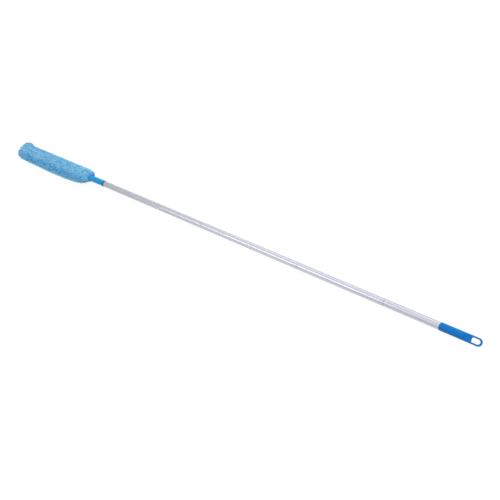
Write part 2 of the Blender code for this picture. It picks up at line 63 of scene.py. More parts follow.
# The studio. A pale floor lies under a soft sky, uneven so that the tube mirrors it in bands. One
# wide softbox gives the light and three weak ones fill in. The camera sees the floor and the sky
# as white, and the floor keeps the duster's shadow.
floor_reach = 30.0
floor_colour = (0.64, 0.64, 0.65, 1.0)
seen_share = 0.80
seen_strength = 1.11
mirrored_share = 0.10
sky_level = 1.1
sky_stops = ((0.0, 0.82), (0.36, 0.82), (0.65, 0.80), (0.76, 0.84), (0.90, 0.92), (1.0, 0.94))
lean_stops = ((0.0, 0.07), (0.23, 0.07), (0.29, 0.30), (0.34, 0.30), (0.42, 0.07))
far_stops = ((0.0, 0.64), (0.12, 0.63), (0.15, 0.77), (0.175, 0.94), (0.20, 1.0))
far_stops += ((0.255, 0.90), (0.30, 0.84), (0.42, 0.86), (1.0, 0.84))
# Each lamp has its place, its target, its size, its watts, and whether the tube mirrors it
lamps = {
    "key_softbox": ((0.90, 2.90, 2.10), (-0.25, 0.0, 0.0), (2.0, 1.6), 104.0, False),
    "strip_softbox": ((-1.37, -0.24, 2.20), (-1.37, -0.24, 0.0), (1.86, 0.34), 4.5, True),
    "side_softbox": ((-1.10, 2.60, 0.70), (-1.10, 0.0, 0.40), (2.4, 0.8), 2.6, True),
    "low_softbox": ((1.20, -2.40, 1.00), (-0.60, 0.0, 0.0), (1.8, 1.0), 21.0, True),
}


class Shade:
    """An output socket of a shader tree. A sum on shades adds Math nodes."""

    def __init__(self, tree, socket=None):
        self.tree = tree
        self.socket = socket

    def node(self, kind, settings=None, inputs=None, output=0):
        """Adds a node, sets it up, fills its sockets, and gives one of its outputs."""
        made = self.tree.nodes.new("ShaderNode" + kind)
        for name, value in (settings or {}).items():
            if name == "stops":
                ramp = made.color_ramp.elements
                while len(ramp) < len(value):
                    ramp.new(0.5)
                for element, (place, colour) in zip(ramp, value):
                    element.position = place
                    element.color = colour
            else:
                setattr(made, name, value)
        for name, value in (inputs or {}).items():
            if isinstance(value, Shade):
                self.tree.links.new(value.socket, made.inputs[name])
            else:
                made.inputs[name].default_value = value
        return Shade(self.tree, made.outputs[output])

    def sum(self, operation, first, second=0.0):
        """Adds a Math node on two values."""
        return self.node("Math", {"operation": operation}, {0: first, 1: second})

    def mix(self, low, high):
        """Mixes two colours by this value."""
        return self.node("Mix", {"data_type": "RGBA"}, {0: self, 6: low, 7: high}, 2)

    def __add__(self, other):
        return self.sum("ADD", self, other)

    def __sub__(self, other):
        return self.sum("SUBTRACT", self, other)

    def __rsub__(self, other):
        return self.sum("SUBTRACT", other, self)

    def __mul__(self, other):
        return self.sum("MULTIPLY", self, other)

    def __pow__(self, other):
        return self.sum("POWER", self, other)

    def __rpow__(self, other):
        return self.sum("POWER", other, self)

    __radd__ = __add__
    __rmul__ = __mul__

    def into(self, node, socket):
        """Links this value to a socket of a node."""
        self.tree.links.new(self.socket, node.inputs[socket])


def grey(value):
    """Gives a grey as a colour."""
    return (value, value, value, 1.0)


def coordinate(place, axis):
    """Gives one coordinate of a place."""
    return place.node("SeparateXYZ", inputs={0: place}, output=axis)


def along_stops(value, stops):
    """Gives the grey that a row of stops has at a value."""
    return value.node("ValToRGB", {"stops": [(stop, grey(level)) for stop, level in stops]}, {0: value})


world = bpy.data.worlds.new("studio")
world.use_nodes = True
scene.world = world
sky_output = world.node_tree.nodes["World Output"]
world.node_tree.nodes.remove(world.node_tree.nodes["Background"])
sky = Shade(world.node_tree)
direction = sky.node("TexCoord", output="Generated")
glow = along_stops(coordinate(direction, "Z"), sky_stops)
far = coordinate(direction, "X") * 0.5 + 0.5
lean = coordinate(direction, "Y") * along_stops(far, lean_stops)
sky_strength = along_stops(far, far_stops) * (sky_level + lean)
lit_sky = sky.node("Background", inputs={"Color": glow, "Strength": sky_strength})
white_sky = sky.node("Background", inputs={"Color": grey(1.0), "Strength": 1.0})
seen = sky.node("LightPath", output="Is Camera Ray")
sky.node("MixShader", inputs={0: seen, 1: lit_sky, 2: white_sky}).into(sky_output, "Surface")

floor_mesh = bpy.data.meshes.new("floor")
corners = [(x * floor_reach, y * floor_reach, 0.0) for x, y in ((-1, -1), (1, -1), (1, 1), (-1, 1))]
floor_mesh.from_pydata(corners, [], [(0, 1, 2, 3)])
floor = bpy.data.objects.new("floor", floor_mesh)
scene.collection.objects.link(floor)
floor_look = bpy.data.materials.new("pale_floor")
floor_look.use_nodes = True
floor_output = floor_look.node_tree.nodes["Material Output"]
floor_look.node_tree.nodes.remove(floor_look.node_tree.nodes["Principled BSDF"])
ground = Shade(floor_look.node_tree)
matt = ground.node("BsdfDiffuse", inputs={"Color": floor_colour})
white = ground.node("Emission", inputs={"Color": grey(1.0), "Strength": seen_strength})
looked_at = ground.node("LightPath", output="Is Camera Ray") * seen_share
mirrored = ground.node("LightPath", output="Is Glossy Ray") * mirrored_share
paled = ground.node("MixShader", inputs={0: looked_at + mirrored, 1: matt, 2: white})
paled.into(floor_output, "Surface")
floor_mesh.materials.append(floor_look)

for name, (place, target, size, watts, in_mirrors) in lamps.items():
    lamp_data = bpy.data.lights.new(name, "AREA")
    lamp_data.shape = "RECTANGLE"
    lamp_data.size, lamp_data.size_y = size
    lamp_data.energy = watts
    lamp = bpy.data.objects.new(name, lamp_data)
    scene.collection.objects.link(lamp)
    lamp.visible_glossy = in_mirrors
    lamp.location = place
    lamp.rotation_euler = (Vector(target) - Vector(place)).to_track_quat("-Z", "Y").to_euler()


# The neck. It is moulded in azure plastic with a satin gloss, in a two-part mould whose split
# runs along both sides. Its mouth is threaded for the pole, and its flat nose holds the blade.
azure = (0.010, 0.246, 0.535, 1.0)
azure_deep = (0.008, 0.210, 0.488, 1.0)
axis_height = 0.0132
neck_round_from = 0.0092
round_likeness = 0.983
flow_shares = (14.0, 60.0, 60.0)
split_width = 0.00012
split_height = 0.00006
first_seam = -0.470
seat_gap = 0.0003
thread_pitch = 0.0042
thread_steps = 32
thread_foot_share = 0.36
thread_crest_share = 0.13
thread_bore = 0.0072
thread_bore_crest = 0.00688
thread_bore_sink = 0.0002
thread_bore_depth = 0.032
neck_run_out = 0.0027


def look(name, **constants):
    """Makes a material, and gives it with its shader and the place on the object."""
    made = bpy.data.materials.new(name)
    made.use_nodes = True
    shader = made.node_tree.nodes["Principled BSDF"]
    for socket, value in constants.items():
        shader.inputs[socket.replace("_", " ")].default_value = value
    return made, shader, Shade(made.node_tree).node("TexCoord", output="Object")


def noise(place, scale=1.0, detail=2.0, roughness=0.5):
    """Adds a Noise texture and gives its value."""
    sockets = {"Vector": place, "Scale": scale, "Detail": detail, "Roughness": roughness}
    return place.node("TexNoise", inputs=sockets)


def stretched(place, shares):
    """Scales a place by three shares."""
    return place.node("Mapping", inputs={"Vector": place, "Scale": shares})


def bump(height, distance=1.0, normal=None):
    """Adds a Bump node, on a normal where one is given, and gives its normal."""
    sockets = {"Height": height, "Distance": distance}
    if normal:
        sockets["Normal"] = normal
    return height.node("Bump", inputs=sockets)


def vector(operation, first, second=(0.0, 0.0, 0.0), output=0):
    """Adds a Vector Math node. Its output 1 is a value."""
    return first.node("VectorMath", {"operation": operation}, {0: first, 1: second}, output)


def from_axis(place):
    """Gives the way from the pole's axis to a place, square to the axis."""
    away = vector("SUBTRACT", place, (0.0, pole_side, axis_height))
    return vector("MULTIPLY", away, (0.0, 1.0, 1.0))


def round_normal(place, least_radius):
    """Gives a normal that is truly round on the turned outside, beyond a radius from the axis."""
    off_axis = from_axis(place)
    radial = vector("NORMALIZE", off_axis)
    flat = place.node("NewGeometry", output="True Normal")
    own = place.node("NewGeometry", output="Normal")
    outward = vector("DOT_PRODUCT", flat, radial, 1)
    along = vector("MULTIPLY", flat, (1.0, 0.0, 0.0))
    across = place.node("VectorMath", {"operation": "SCALE"}, {0: radial, "Scale": outward})
    turned = vector("NORMALIZE", vector("ADD", across, along))
    likeness = outward * outward + vector("DOT_PRODUCT", along, along, 1)
    is_round = place.sum("GREATER_THAN", likeness, round_likeness)
    is_round = is_round * place.sum("GREATER_THAN", outward, 0.0)
    far_out = place.sum("GREATER_THAN", vector("LENGTH", off_axis, output=1), least_radius)
    return (is_round * far_out).mix(own, turned)


def moulded(name, deep, colour, grain_scale, grain_depth, gloss, round_from=1.0):
    """Makes the look of moulded plastic: faint flow marks, fine grain and the mould's split line."""
    made, shader, place = look(name, Specular_IOR_Level=0.14)
    flow = noise(stretched(place, flow_shares), detail=3.0)
    grain = noise(place, grain_scale, detail=3.0, roughness=0.6)
    rubbed = noise(place, scale=260.0)
    off_split = place.sum("ABSOLUTE", coordinate(place, "Z") - axis_height)
    split = place.sum("LESS_THAN", off_split, split_width)
    flow.mix(deep, colour).into(shader, "Base Color")
    (gloss + rubbed * 0.12 + grain * 0.06).into(shader, "Roughness")
    relief = grain * grain_depth + split * split_height
    bump(relief, normal=round_normal(place, round_from)).into(shader, "Normal")
    return made


def dress(node, material):
    """Gives a carried-over node a material."""
    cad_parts[node].material_slots[0].material = material


def mesh_piece(name, vertices, faces, material):
    """Makes a smooth mesh piece with one material."""
    mesh = bpy.data.meshes.new(name)
    mesh.from_pydata(vertices, [], faces)
    mesh.validate()
    mesh.materials.append(material)
    mesh.shade_smooth()
    made = bpy.data.objects.new(name, mesh)
    scene.collection.objects.link(made)
    return made


def thread_mesh(root, crest, start, end):
    """Gives a thread's ridge round the pole's axis, fading in at both its ends."""
    turns = (end - start) / thread_pitch
    count = int(turns * thread_steps)
    vertices, faces = [], []
    for index in range(count + 1):
        share = index / count
        fade = min(1.0, share * turns * 2, (1 - share) * turns * 2)
        angle = 2 * math.pi * turns * share
        top = root + (crest - root) * fade
        middle = start + (end - start) * share
        row = (
            (root, -thread_foot_share),
            (top, -thread_crest_share),
            (top, thread_crest_share),
            (root, thread_foot_share),
        )
        for radius, shift in row:
            y = pole_side + radius * math.cos(angle)
            z = axis_height + radius * math.sin(angle)
            vertices.append((middle + shift * thread_pitch, y, z))
    for index in range(count):
        for corner in range(4):
            low, after = index * 4 + corner, index * 4 + (corner + 1) % 4
            faces.append((low, after, after + 4, low + 4))
    faces += [(3, 2, 1, 0), tuple(range(count * 4, count * 4 + 4))]
    return vertices, faces


def bore_thread(mouth, run_out):
    """Gives the thread of a bore, up to its run-out before the bore's mouth."""
    start = mouth - thread_bore_depth + thread_pitch
    return thread_mesh(thread_bore + thread_bore_sink, thread_bore_crest, start, mouth - run_out)


azure_plastic = moulded(
    "azure_plastic",
    azure_deep,
    azure,
    grain_scale=2400.0,
    grain_depth=0.00003,
    gloss=0.26,
    round_from=neck_round_from,
)
dress("head_neck", azure_plastic)
neck_thread = mesh_piece("neck_thread", *bore_thread(first_seam - seat_gap, neck_run_out), azure_plastic)
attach(neck_thread, "head")


# The blade. It is a ladder of milky polypropylene that bends by hand and keeps its curve. Two
# aluminium rivets, set down on the neck's flats, hold its tang in the neck.
milk = (0.69, 0.72, 0.75, 1.0)
milk_deep = (0.59, 0.62, 0.66, 1.0)
rivet_bright = (0.80, 0.80, 0.81, 1.0)
rivet_dull = (0.62, 0.62, 0.64, 1.0)


def grained(shader, pattern, deep, pale, roughness, depth):
    """Gives a shader its colours, its roughness and its relief from one pattern."""
    least, most = roughness
    pattern.mix(deep, pale).into(shader, "Base Color")
    (least + pattern * (most - least)).into(shader, "Roughness")
    bump(pattern, depth).into(shader, "Normal")


milky_plastic = moulded(
    "milky_polypropylene", milk_deep, milk, grain_scale=1500.0, grain_depth=0.00004, gloss=0.38
)
dress("head_blade", milky_plastic)
rivet_metal, rivet_shader, rivet_place = look("rivet_aluminium", Metallic=1.0)
hammered = noise(rivet_place, scale=1800.0)
grained(rivet_shader, hammered, rivet_dull, rivet_bright, roughness=(0.24, 0.44), depth=0.00008)
for number in (1, 2):
    dress(f"blade_rivet_{number}", rivet_metal)


# The rods. Each is a thin steel tube, welded and drawn, then plated in satin silver. Drawing
# leaves fine lines along it, and handling leaves it a little uneven in its shine.
silver = (0.718, 0.739, 0.818, 1.0)
silver_dull = (0.658, 0.679, 0.757, 1.0)
rod_count = 5
rod_pitch = 0.2965
rod_round_from = 0.0096
drawn_shares = (6.0, 1400.0, 1400.0)
drawn_depth = 0.00002
pitted_depth = 0.000006

rod_steel, rod_shader, rod_place = look("satin_steel", Metallic=1.0)
drawn = noise(stretched(rod_place, drawn_shares), detail=3.0, roughness=0.6)
handled = noise(rod_place, scale=38.0, detail=3.0)
pitted = noise(rod_place, scale=2600.0)
(drawn * 0.7 + handled * 0.3).mix(silver_dull, silver).into(rod_shader, "Base Color")
(0.14 + drawn * 0.08 + handled * 0.08).into(rod_shader, "Roughness")
rod_relief = drawn * drawn_depth + pitted * pitted_depth
bump(rod_relief, normal=round_normal(rod_place, rod_round_from)).into(rod_shader, "Normal")
for number in range(1, rod_count + 1):
    dress(f"rod_{number}", rod_steel)


# The threaded joints. A black nylon plug is dimpled into each rod's lower end, and its coarse stud
# screws into the socket or neck before it. Its flange is the line at the seam: at the neck it is
# thick, with a skirt over the tube, and elsewhere it is slim and its rim is grey with dust.
nylon = (0.022, 0.022, 0.025, 1.0)
nylon_worn = (0.050, 0.050, 0.055, 1.0)
nylon_dusty = (0.270, 0.275, 0.290, 1.0)
nylon_rubbed = (0.370, 0.377, 0.395, 1.0)
pebbled_depth = 0.00003
dusty_from = 0.0092
plug_facets = 48
plug_crease = 40.0
core_radius = 0.0042
shank_radius = 0.0091
shank_length = 0.0523
shank_chamfer = 0.0010
groove_radius = 0.0085
groove_start = 0.0415
groove_end = 0.0471
flange_radius = 0.0096
flange_thickness = 0.0006
neck_flange_thickness = 0.0024
flange_edge = 0.0002
joint_fill = 0.00025
skirt_length = 0.0021
skirt_inside = 0.01002
skirt_outside = 0.01025
stud_radius = 0.0059
stud_crest = 0.0068
stud_length = 0.0280
stud_chamfer = 0.0012
stud_thread_end = 0.0255
stud_thread_sink = 0.0001
thread_run_out = 0.0025


def slim_flange():
    """Gives the profile of a slim flange, which fills the joint between two tubes."""
    front, back = -joint_fill, flange_thickness + joint_fill
    return [
        (shank_radius, back),
        (flange_radius - flange_edge, back),
        (flange_radius, back - flange_edge),
        (flange_radius, front + flange_edge),
        (flange_radius - flange_edge, front),
        (stud_radius, front),
    ]


def skirted_flange():
    """Gives the profile of the neck's thick flange, with its skirt over the first tube's end."""
    back = neck_flange_thickness
    lip = back + skirt_length
    return [
        (shank_radius, back),
        (skirt_inside, back),
        (skirt_inside, lip),
        (skirt_outside - flange_edge / 2, lip),
        (skirt_outside, lip - flange_edge),
        (skirt_outside, flange_edge),
        (skirt_outside - flange_edge, 0.0),
        (stud_radius, 0.0),
    ]


def plug_profile(thickness, flange):
    """Gives a plug's profile: its grooved shank, its flange and its chamfered stud."""
    shank = [
        (core_radius, shank_length),
        (shank_radius - shank_chamfer, shank_length),
        (shank_radius, shank_length - shank_chamfer),
        (shank_radius, groove_end),
        (groove_radius, groove_end),
        (groove_radius, groove_start),
        (shank_radius, groove_start),
    ]
    stud = [(stud_radius, stud_chamfer - stud_length), (stud_radius - stud_chamfer, -stud_length)]
    return [(radius, place + thickness) for radius, place in shank] + flange + stud


def turned_mesh(profile, place, facets):
    """Turns a profile of (radius, place) points round the pole's axis, closed by flat ends."""
    vertices, faces = [], []
    for radius, along in profile:
        for step in range(facets):
            angle = 2 * math.pi * step / facets
            y = pole_side + radius * math.cos(angle)
            vertices.append((place + along, y, axis_height + radius * math.sin(angle)))
    for row in range(len(profile) - 1):
        for step in range(facets):
            low, after = row * facets + step, row * facets + (step + 1) % facets
            faces.append((low, after, after + facets, low + facets))
    last = (len(profile) - 1) * facets
    faces += [tuple(reversed(range(facets))), tuple(range(last, last + facets))]
    return vertices, faces


def moulded_nylon(name, rim_colours=None):
    """Makes the look of black moulded nylon, perhaps with other colours round a flange's rim."""
    made, shader, place = look(name, Specular_IOR_Level=0.3)
    worn = noise(place, scale=420.0, detail=3.0)
    pebbled = noise(place, scale=3000.0)
    colour = worn.mix(nylon, nylon_worn)
    if rim_colours:
        radius = vector("LENGTH", from_axis(place), output=1)
        at_rim = place.sum("GREATER_THAN", radius, dusty_from)
        colour = at_rim.mix(colour, worn.mix(*rim_colours))
    colour.into(shader, "Base Color")
    (0.36 + worn * 0.22).into(shader, "Roughness")
    bump(pebbled, pebbled_depth).into(shader, "Normal")
    return made


def plug_mesh(seam, at_neck):
    """Gives a plug with its stud's thread, at a seam."""
    thickness = neck_flange_thickness if at_neck else flange_thickness
    flange = skirted_flange() if at_neck else slim_flange()
    vertices, faces = turned_mesh(plug_profile(thickness, flange), seam, plug_facets)
    root = stud_radius - stud_thread_sink
    ridge = thread_mesh(root, stud_crest, seam - stud_thread_end, seam - thread_run_out)
    joined = [tuple(index + len(vertices) for index in face) for face in ridge[1]]
    return vertices + ridge[0], faces + joined


black_nylon = moulded_nylon("black_nylon")
dusty_nylon = moulded_nylon("dusty_nylon", (nylon_dusty, nylon_rubbed))
for number in range(1, rod_count + 1):
    seam = first_seam + (number - 1) * rod_pitch
    stage = "grip_stage" if number == rod_count else f"rod_stage_{number}"
    at_neck = number == 1
    finish = black_nylon if at_neck else dusty_nylon
    plug = mesh_piece(f"plug_{number}", *plug_mesh(seam, at_neck), finish)
    plug.data.set_sharp_from_angle(angle=math.radians(plug_crease))
    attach(plug, stage)
    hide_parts(f"thread_plug_{number}")
    if number < rod_count:
        dress(f"thread_socket_{number}", black_nylon)
        ridge = bore_thread(seam + rod_pitch - seat_gap, thread_run_out)
        socket_thread = mesh_piece(f"socket_thread_{number}", *ridge, black_nylon)
        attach(socket_thread, stage)


# The grip. It is moulded in deep-blue plastic with a fine spark-eroded grain for the hand, and
# its spigot is dimpled into the last rod. Its flat end has a slot to hang it by.
grip_blue = (0.003, 0.148, 0.445, 1.0)
grip_deep = (0.002, 0.112, 0.365, 1.0)
grip_round_from = 0.0100

grip_plastic = moulded(
    "deep_blue_plastic",
    grip_deep,
    grip_blue,
    grain_scale=1100.0,
    grain_depth=0.00012,
    gloss=0.40,
    round_from=grip_round_from,
)
dress("grip", grip_plastic)


# The sleeve. It is sewn from knitted microfibre cloth with a thick short pile, drawn in by an
# elastic at its mouth. The cloth lies flat beneath and stands out in an ear at the tip's corner.
# The cloth's two blues are darker than the pile's, as painted shade deep in the pile
cloth_shaded_blue = (0.040, 0.210, 0.480, 1.0)
cloth_shaded_deep = (0.020, 0.130, 0.350, 1.0)
knit_shares = (1.0, 2.2, 2.2)
sleeve_mouth = -0.547
sleeve_length = 0.453
sleeve_high_side = 0.0270
sleeve_low_side = 0.0394
sleeve_height = 0.0300
sleeve_middle_height = 0.0130
mouth_set_back = 0.0046
mouth_side_reach = 0.0022
mouth_saddle = 0.0049
mouth_edge_fade = 0.020
mouth_squareness = 2.0
body_squareness = 2.6
full_section_share = 0.12
tip_start_share = 0.91
gather_count = 8
gather_depth = 0.0010
pile_depth = 0.0034
pile_mouth_share = 0.15
pile_full_share = 0.10
least_half = 0.001
cloth_facets = 32
cloth_rounding = 2
mouth_radius = 0.0108
mouth_turn_in = 0.0125
throat_radius = 0.0113
throat_start = 0.016
throat_end = 0.072
flare_length = 0.055
flare_shares = (0.35, 0.7, 1.0)
pocket_half_width = 0.0230
pocket_half_height = 0.0045
pocket_rows = ((0.280, 1.0), (0.424, 1.0), (0.4375, 0.7))
# Each station has its share of the length, then of the high side, the low side, the height and
# the gathers' depth
sleeve_stations = (
    (0.0000, 0.70, 0.320, 0.87, 0.6),
    (0.0070, 0.80, 0.345, 0.89, 0.9),
    (0.0154, 0.88, 0.400, 0.91, 1.2),
    (0.0330, 0.955, 0.510, 0.94, 1.6),
    (0.0515, 1.01, 0.610, 0.96, 1.7),
    (0.0880, 1.055, 0.775, 0.99, 1.2),
    (0.1235, 1.045, 0.853, 1.0, 0.7),
    (0.1610, 1.04, 0.900, 1.0, 0.3),
    (0.1980, 1.01, 0.930, 1.0, 0.0),
    (0.2730, 1.0, 0.975, 1.0, 0.0),
    (0.3850, 1.01, 0.995, 1.0, 0.0),
    (0.5420, 1.0, 1.0, 1.0, 0.0),
    (0.6210, 1.0, 0.970, 1.0, 0.0),
    (0.7440, 0.99, 0.955, 1.0, 0.0),
    (0.8220, 0.97, 0.945, 1.0, 0.0),
    (0.8460, 1.05, 0.935, 1.0, 0.0),
    (0.8660, 1.18, 0.925, 1.0, 0.0),
    (0.8880, 1.29, 0.915, 1.0, 0.0),
    (0.9030, 1.275, 0.910, 1.0, 0.0),
    (0.9210, 1.16, 0.900, 0.99, 0.0),
    (0.9360, 1.0, 0.885, 0.96, 0.0),
    (0.9490, 0.82, 0.865, 0.91, 0.0),
    (0.9626, 0.56, 0.830, 0.83, 0.0),
    (0.9747, 0.30, 0.765, 0.72, 0.0),
    (0.9846, 0.06, 0.680, 0.58, 0.0),
    (0.9934, -0.20, 0.580, 0.40, 0.0),
    (1.0000, -0.42, 0.480, 0.18, 0.0),
)


def power(value, exponent):
    """Raises a value's size to a power and keeps its sign."""
    return math.copysign(abs(value) ** exponent, value)


def mouth_edge(y, z):
    """Gives how far forward the mouth's edge lies at a side of the pole."""
    angle = math.atan2(z - axis_height, y - pole_side)
    return mouth_side_reach * math.cos(angle) + mouth_saddle * math.cos(2 * angle) - mouth_set_back


def outer_loop(share, high_share, low_share, height_share, gather_share):
    """Gives one station of the cloth, set in from the pile's tips by the pile's depth."""
    inset_share = pile_mouth_share + (1 - pile_mouth_share) * min(1.0, share / pile_full_share)
    inset = pile_depth * inset_share
    high = high_share * sleeve_high_side
    low = low_share * sleeve_low_side
    middle = pole_side + (high - low) / 2
    half_width = max(least_half, (high + low) / 2 - inset)
    ripeness = min(1.0, share / full_section_share)
    bend = 2 / (mouth_squareness + (body_squareness - mouth_squareness) * ripeness)
    up = sleeve_height * height_share - sleeve_middle_height
    down = sleeve_middle_height
    if share > tip_start_share:
        up = (sleeve_height - sleeve_middle_height) * height_share
        down *= height_share
    place = sleeve_mouth - share * (sleeve_length - pile_depth)
    fade = max(0.0, 1.0 - share * sleeve_length / mouth_edge_fade)
    loop = []
    for index in range(cloth_facets):
        angle = 2 * math.pi * index / cloth_facets
        across, rise = power(math.cos(angle), bend), power(math.sin(angle), bend)
        fold = gather_depth * gather_share * (math.cos(gather_count * angle) - 1) * min(1.0, 1 + rise)
        tall = max(least_half, (up if rise > 0 else down) - inset)
        y = middle + (half_width + fold) * across
        z = sleeve_middle_height + (tall + fold) * rise
        loop.append((place + fade * mouth_edge(y, z), y, z))
    return loop


def pocket_loop(place, half_width, half_height, shift=0.0, edge_share=0.0):
    """Gives one station of the pocket that the blade goes into."""
    loop = []
    for index in range(cloth_facets):
        angle = 2 * math.pi * index / cloth_facets
        y = pole_side - shift + half_width * math.cos(angle)
        z = axis_height + half_height * math.sin(angle)
        loop.append((place + edge_share * mouth_edge(y, z), y, z))
    return loop


def pocket_loops():
    """Gives the pocket from the mouth's edge, through its round throat, to its flat blind end."""
    side_shift = (sleeve_low_side - sleeve_high_side) / 2
    loops = [pocket_loop(sleeve_mouth, mouth_radius, mouth_radius, edge_share=1.0)]
    loops.append(pocket_loop(sleeve_mouth - mouth_turn_in, mouth_radius, mouth_radius))
    for reach in (throat_start, throat_end):
        loops.append(pocket_loop(sleeve_mouth - reach, throat_radius, throat_radius))
    for share in flare_shares:
        place = sleeve_mouth - throat_end - flare_length * share
        wide = throat_radius + (pocket_half_width - throat_radius) * share
        tall = throat_radius + (pocket_half_height - throat_radius) * share
        loops.append(pocket_loop(place, wide, tall, side_shift * share))
    for reach, share in pocket_rows:
        wide, tall = pocket_half_width * share, pocket_half_height * share
        loops.append(pocket_loop(sleeve_mouth - reach, wide, tall, side_shift))
    return loops


def lofted(loops):
    """Skins a row of loops and closes both ends."""
    count = len(loops[0])
    vertices = [point for loop in loops for point in loop]
    faces = []
    for row in range(len(loops) - 1):
        for index in range(count):
            low, after = row * count + index, row * count + (index + 1) % count
            faces.append((low, after, after + count, low + count))
    last = (len(loops) - 1) * count
    faces += [tuple(reversed(range(count))), tuple(range(last, last + count))]
    return vertices, faces


plush_cloth, cloth_shader, cloth_place = look("plush_cloth", Specular_IOR_Level=0.2, Sheen_Weight=0.3)
knit = noise(stretched(cloth_place, knit_shares), scale=900.0, detail=3.0, roughness=0.7)
grained(cloth_shader, knit, cloth_shaded_deep, cloth_shaded_blue, roughness=(0.85, 0.95), depth=0.0006)
outside = [outer_loop(*station) for station in reversed(sleeve_stations)]
cloth = mesh_piece("sleeve_cloth", *lofted(outside + pocket_loops()), plush_cloth)
rounding = cloth.modifiers.new("rounding", "SUBSURF")
rounding.levels = cloth_rounding
rounding.render_levels = cloth_rounding
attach(cloth, "sleeve")
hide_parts("plush_sleeve")


# The hem. The cloth's raw edge is overlocked round the mouth with blue yarn, in a ribbed roll
# that lies close round the neck.
hem_blue = (0.160, 0.460, 0.780, 1.0)
hem_deep = (0.080, 0.300, 0.600, 1.0)
hem_radius = 0.0014
hem_across = 0.0126
hem_upright = 0.0121
hem_ribs = 54
hem_rib_depth = 0.13
hem_twist = 3
hem_steps = 432
hem_sides = 12
floor_clearance = 0.0003

hem_look, hem_shader, hem_place = look("hem_yarn", Specular_IOR_Level=0.2, Sheen_Weight=0.3)
twine = noise(hem_place, scale=1600.0, detail=3.0, roughness=0.7)
grained(hem_shader, twine, hem_deep, hem_blue, roughness=(0.80, 0.95), depth=0.0003)
hem_vertices, hem_faces = [], []
for step in range(hem_steps):
    angle = 2 * math.pi * step / hem_steps
    for corner in range(hem_sides):
        turn = 2 * math.pi * corner / hem_sides
        reach = hem_radius * (1 + hem_rib_depth * math.sin(hem_ribs * angle + hem_twist * turn))
        out = reach * math.cos(turn)
        y = pole_side + (hem_across + out) * math.cos(angle)
        z = axis_height + (hem_upright + out) * math.sin(angle)
        x = sleeve_mouth + mouth_edge(y, z) + reach * math.sin(turn)
        hem_vertices.append((x, y, max(z, floor_clearance)))
        low, beside = step * hem_sides + corner, step * hem_sides + (corner + 1) % hem_sides
        after = (step + 1) % hem_steps * hem_sides
        hem_faces.append((low, beside, after + (corner + 1) % hem_sides, after + corner))
hem = mesh_piece("sleeve_hem", hem_vertices, hem_faces, hem_look)
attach(hem, "sleeve")


# The pile. Fine microfibre yarns are knitted into the cloth in tufts, which stick together in soft
# clumps. Each tuft darkens towards its root, as painted shade deep in the pile. Use has laid them
# towards the tip along the upper side. Low on the other side, at the tip and round the mouth they
# stand up.
pile_light = (0.520, 0.900, 1.000, 1.0)
pile_mid = (0.095, 0.590, 1.000, 1.0)
# The deepest blue is painted shade at the tufts' roots, deep in the pile
pile_deep_shade = (0.008, 0.170, 0.520, 1.0)
patch_shares = (0.4, 1.0, 1.0)
tone_and_light_paling = 0.9
patch_paling = 1.2
paling_start = 0.65
least_brightness = 0.64
root_shade_curve = 0.6
tuft_count = 42000
tuft_length = 0.0050
tuft_length_shares = (0.82, 1.12)
tuft_mouth_share = 0.36
tuft_radius = 0.00062
tuft_taper = 0.85
tuft_middle = 0.55
tuft_bow = 0.16
tuft_scatter = 0.12
cell_margin = 0.08
clump_count = 1900
clump_heights = (0.50, 1.20)
clump_skew = 0.7
clump_pull = 0.75
clump_pull_shares = (0.5, 1.0)
laid_lean = 0.80
laid_height = 0.72
open_lean = -0.10
tip_lean = 0.42
laid_above = 0.002
open_below = -0.014
open_mouth_reach = 0.055
open_tip_reach = 0.060
# These shares paint light into the tufts' colour: shade on short clumps, on open pile and on the high
# flank, sheen on laid pile and on the low flank, and a highlight round the mouth
clump_painted_shade = 0.55
tuft_paleness = 0.20
open_clump_painted_shade = 0.20
open_paleness = 0.05
laid_painted_sheen = 0.21
side_slope = 1.6
flank_painted_sheen = 0.45
flank_from = 0.5
rim_shade_depth = 0.55
rim_from = 0.3
rim_reach = 0.30
mouth_painted_highlight = 0.16
mouth_highlight_reach = 0.11
mouth_low_share = 0.5
mouth_low_side = -0.0072
mouth_low_reach = 0.012

plush_pile, pile_shader, pile_place = look("plush_pile", Specular_IOR_Level=0.1, Sheen_Weight=0.08)
rise = pile_place.node("Attribute", {"attribute_name": "tuft_rise"}, output="Fac")
tone_and_light = pile_place.node("Attribute", {"attribute_name": "tuft_luck"}, output="Fac")
patch = noise(stretched(pile_place, patch_shares), scale=120.0, detail=3.0, roughness=0.65)
# Each tuft's value holds its own tone and its painted shade, sheen and highlight, and pales the colour
paling = tone_and_light * tone_and_light_paling + patch * patch_paling - paling_start
body_colour = paling.mix(pile_mid, pile_light)
brightness = pile_place.sum("MINIMUM", tone_and_light * tone_and_light_paling + least_brightness, 1.0)
# Painted shade deep in the pile: the colour darkens from each tuft's tip to its root
(rise ** root_shade_curve * brightness).mix(pile_deep_shade, body_colour).into(pile_shader, "Base Color")
(0.72 + tone_and_light * 0.2).into(pile_shader, "Roughness")


